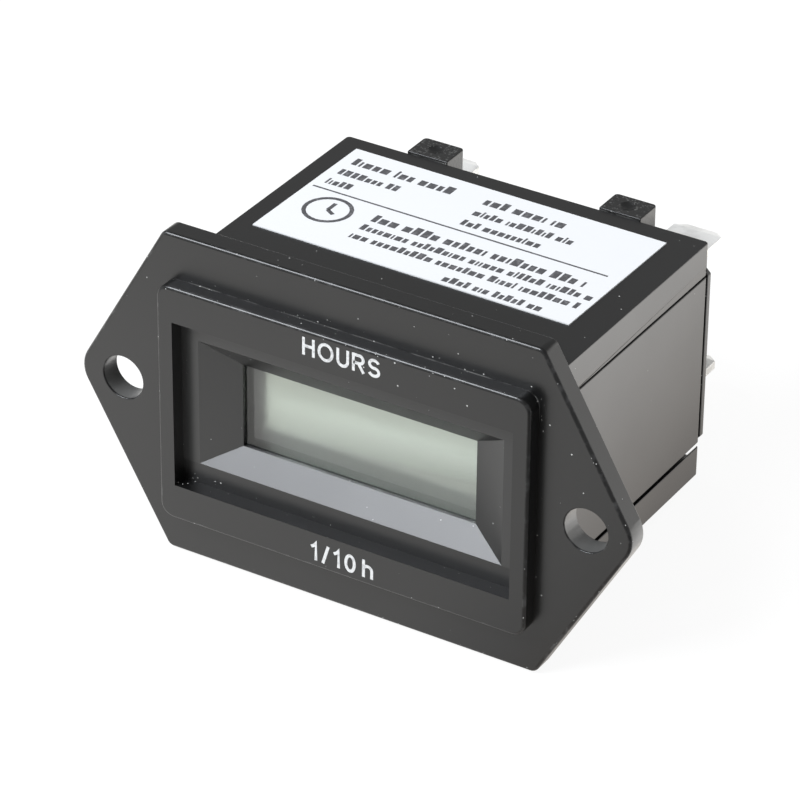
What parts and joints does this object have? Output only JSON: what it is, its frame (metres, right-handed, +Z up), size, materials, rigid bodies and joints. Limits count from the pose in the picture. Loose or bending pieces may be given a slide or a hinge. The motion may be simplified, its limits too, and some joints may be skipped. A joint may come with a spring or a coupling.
{
  "type": "hour meter",
  "caption": "Panel-mounted electronic hour meter with a six-sided screw flange, raised frame round a recessed bevelled display window, boxed body and rear blade terminals.",
  "frame": {"origin": "midway between the two fixing holes, on the flange's back face", "axes": "+X to the viewer's right, +Y back through the panel, +Z up"},
  "size_m": [0.0542, 0.0406, 0.0314],
  "materials": {
    "black_plastic": "fine spark texture, satin",
    "clear_plastic": "polished",
    "polarizer_film": "gloss film",
    "display_glass": "polished",
    "reflector_film": "satin film",
    "white_plastic": "satin",
    "contact_rubber": "matte",
    "circuit_board": "solder resist, gloss",
    "chip_plastic": "matte",
    "tinned_brass": "bright tin plate",
    "crystal_can": "satin",
    "capacitor_sleeve": "shrunk sleeve",
    "resistor_coat": "matte coat",
    "label_film": "matte white"
  },
  "bodies": {
    "root": {"front_housing": "black_plastic", "rear_cover": "black_plastic", "window_lens": "clear_plastic", "lcd_front_polarizer": "polarizer_film", "lcd_front_glass": "display_glass", "lcd_rear_glass": "display_glass", "lcd_reflector": "reflector_film", "lcd_holder": "white_plastic", "contact_strip_upper": "contact_rubber", "contact_strip_lower": "contact_rubber", "display_board": "circuit_board", "processor_chip": "chip_plastic", "memory_chip": "chip_plastic", "timing_crystal": "crystal_can", "link_header": "chip_plastic", "link_pins": "tinned_brass", "power_board": "circuit_board", "bridge_rectifier": "chip_plastic", "reservoir_capacitor": "capacitor_sleeve", "dropper_resistors": "resistor_coat", "clamp_diode": "chip_plastic", "blade_upper_left": "tinned_brass", "blade_upper_right": "tinned_brass", "blade_lower_left": "tinned_brass", "blade_lower_right": "tinned_brass", "top_label": "label_film"}
  },
  "joints": []
}
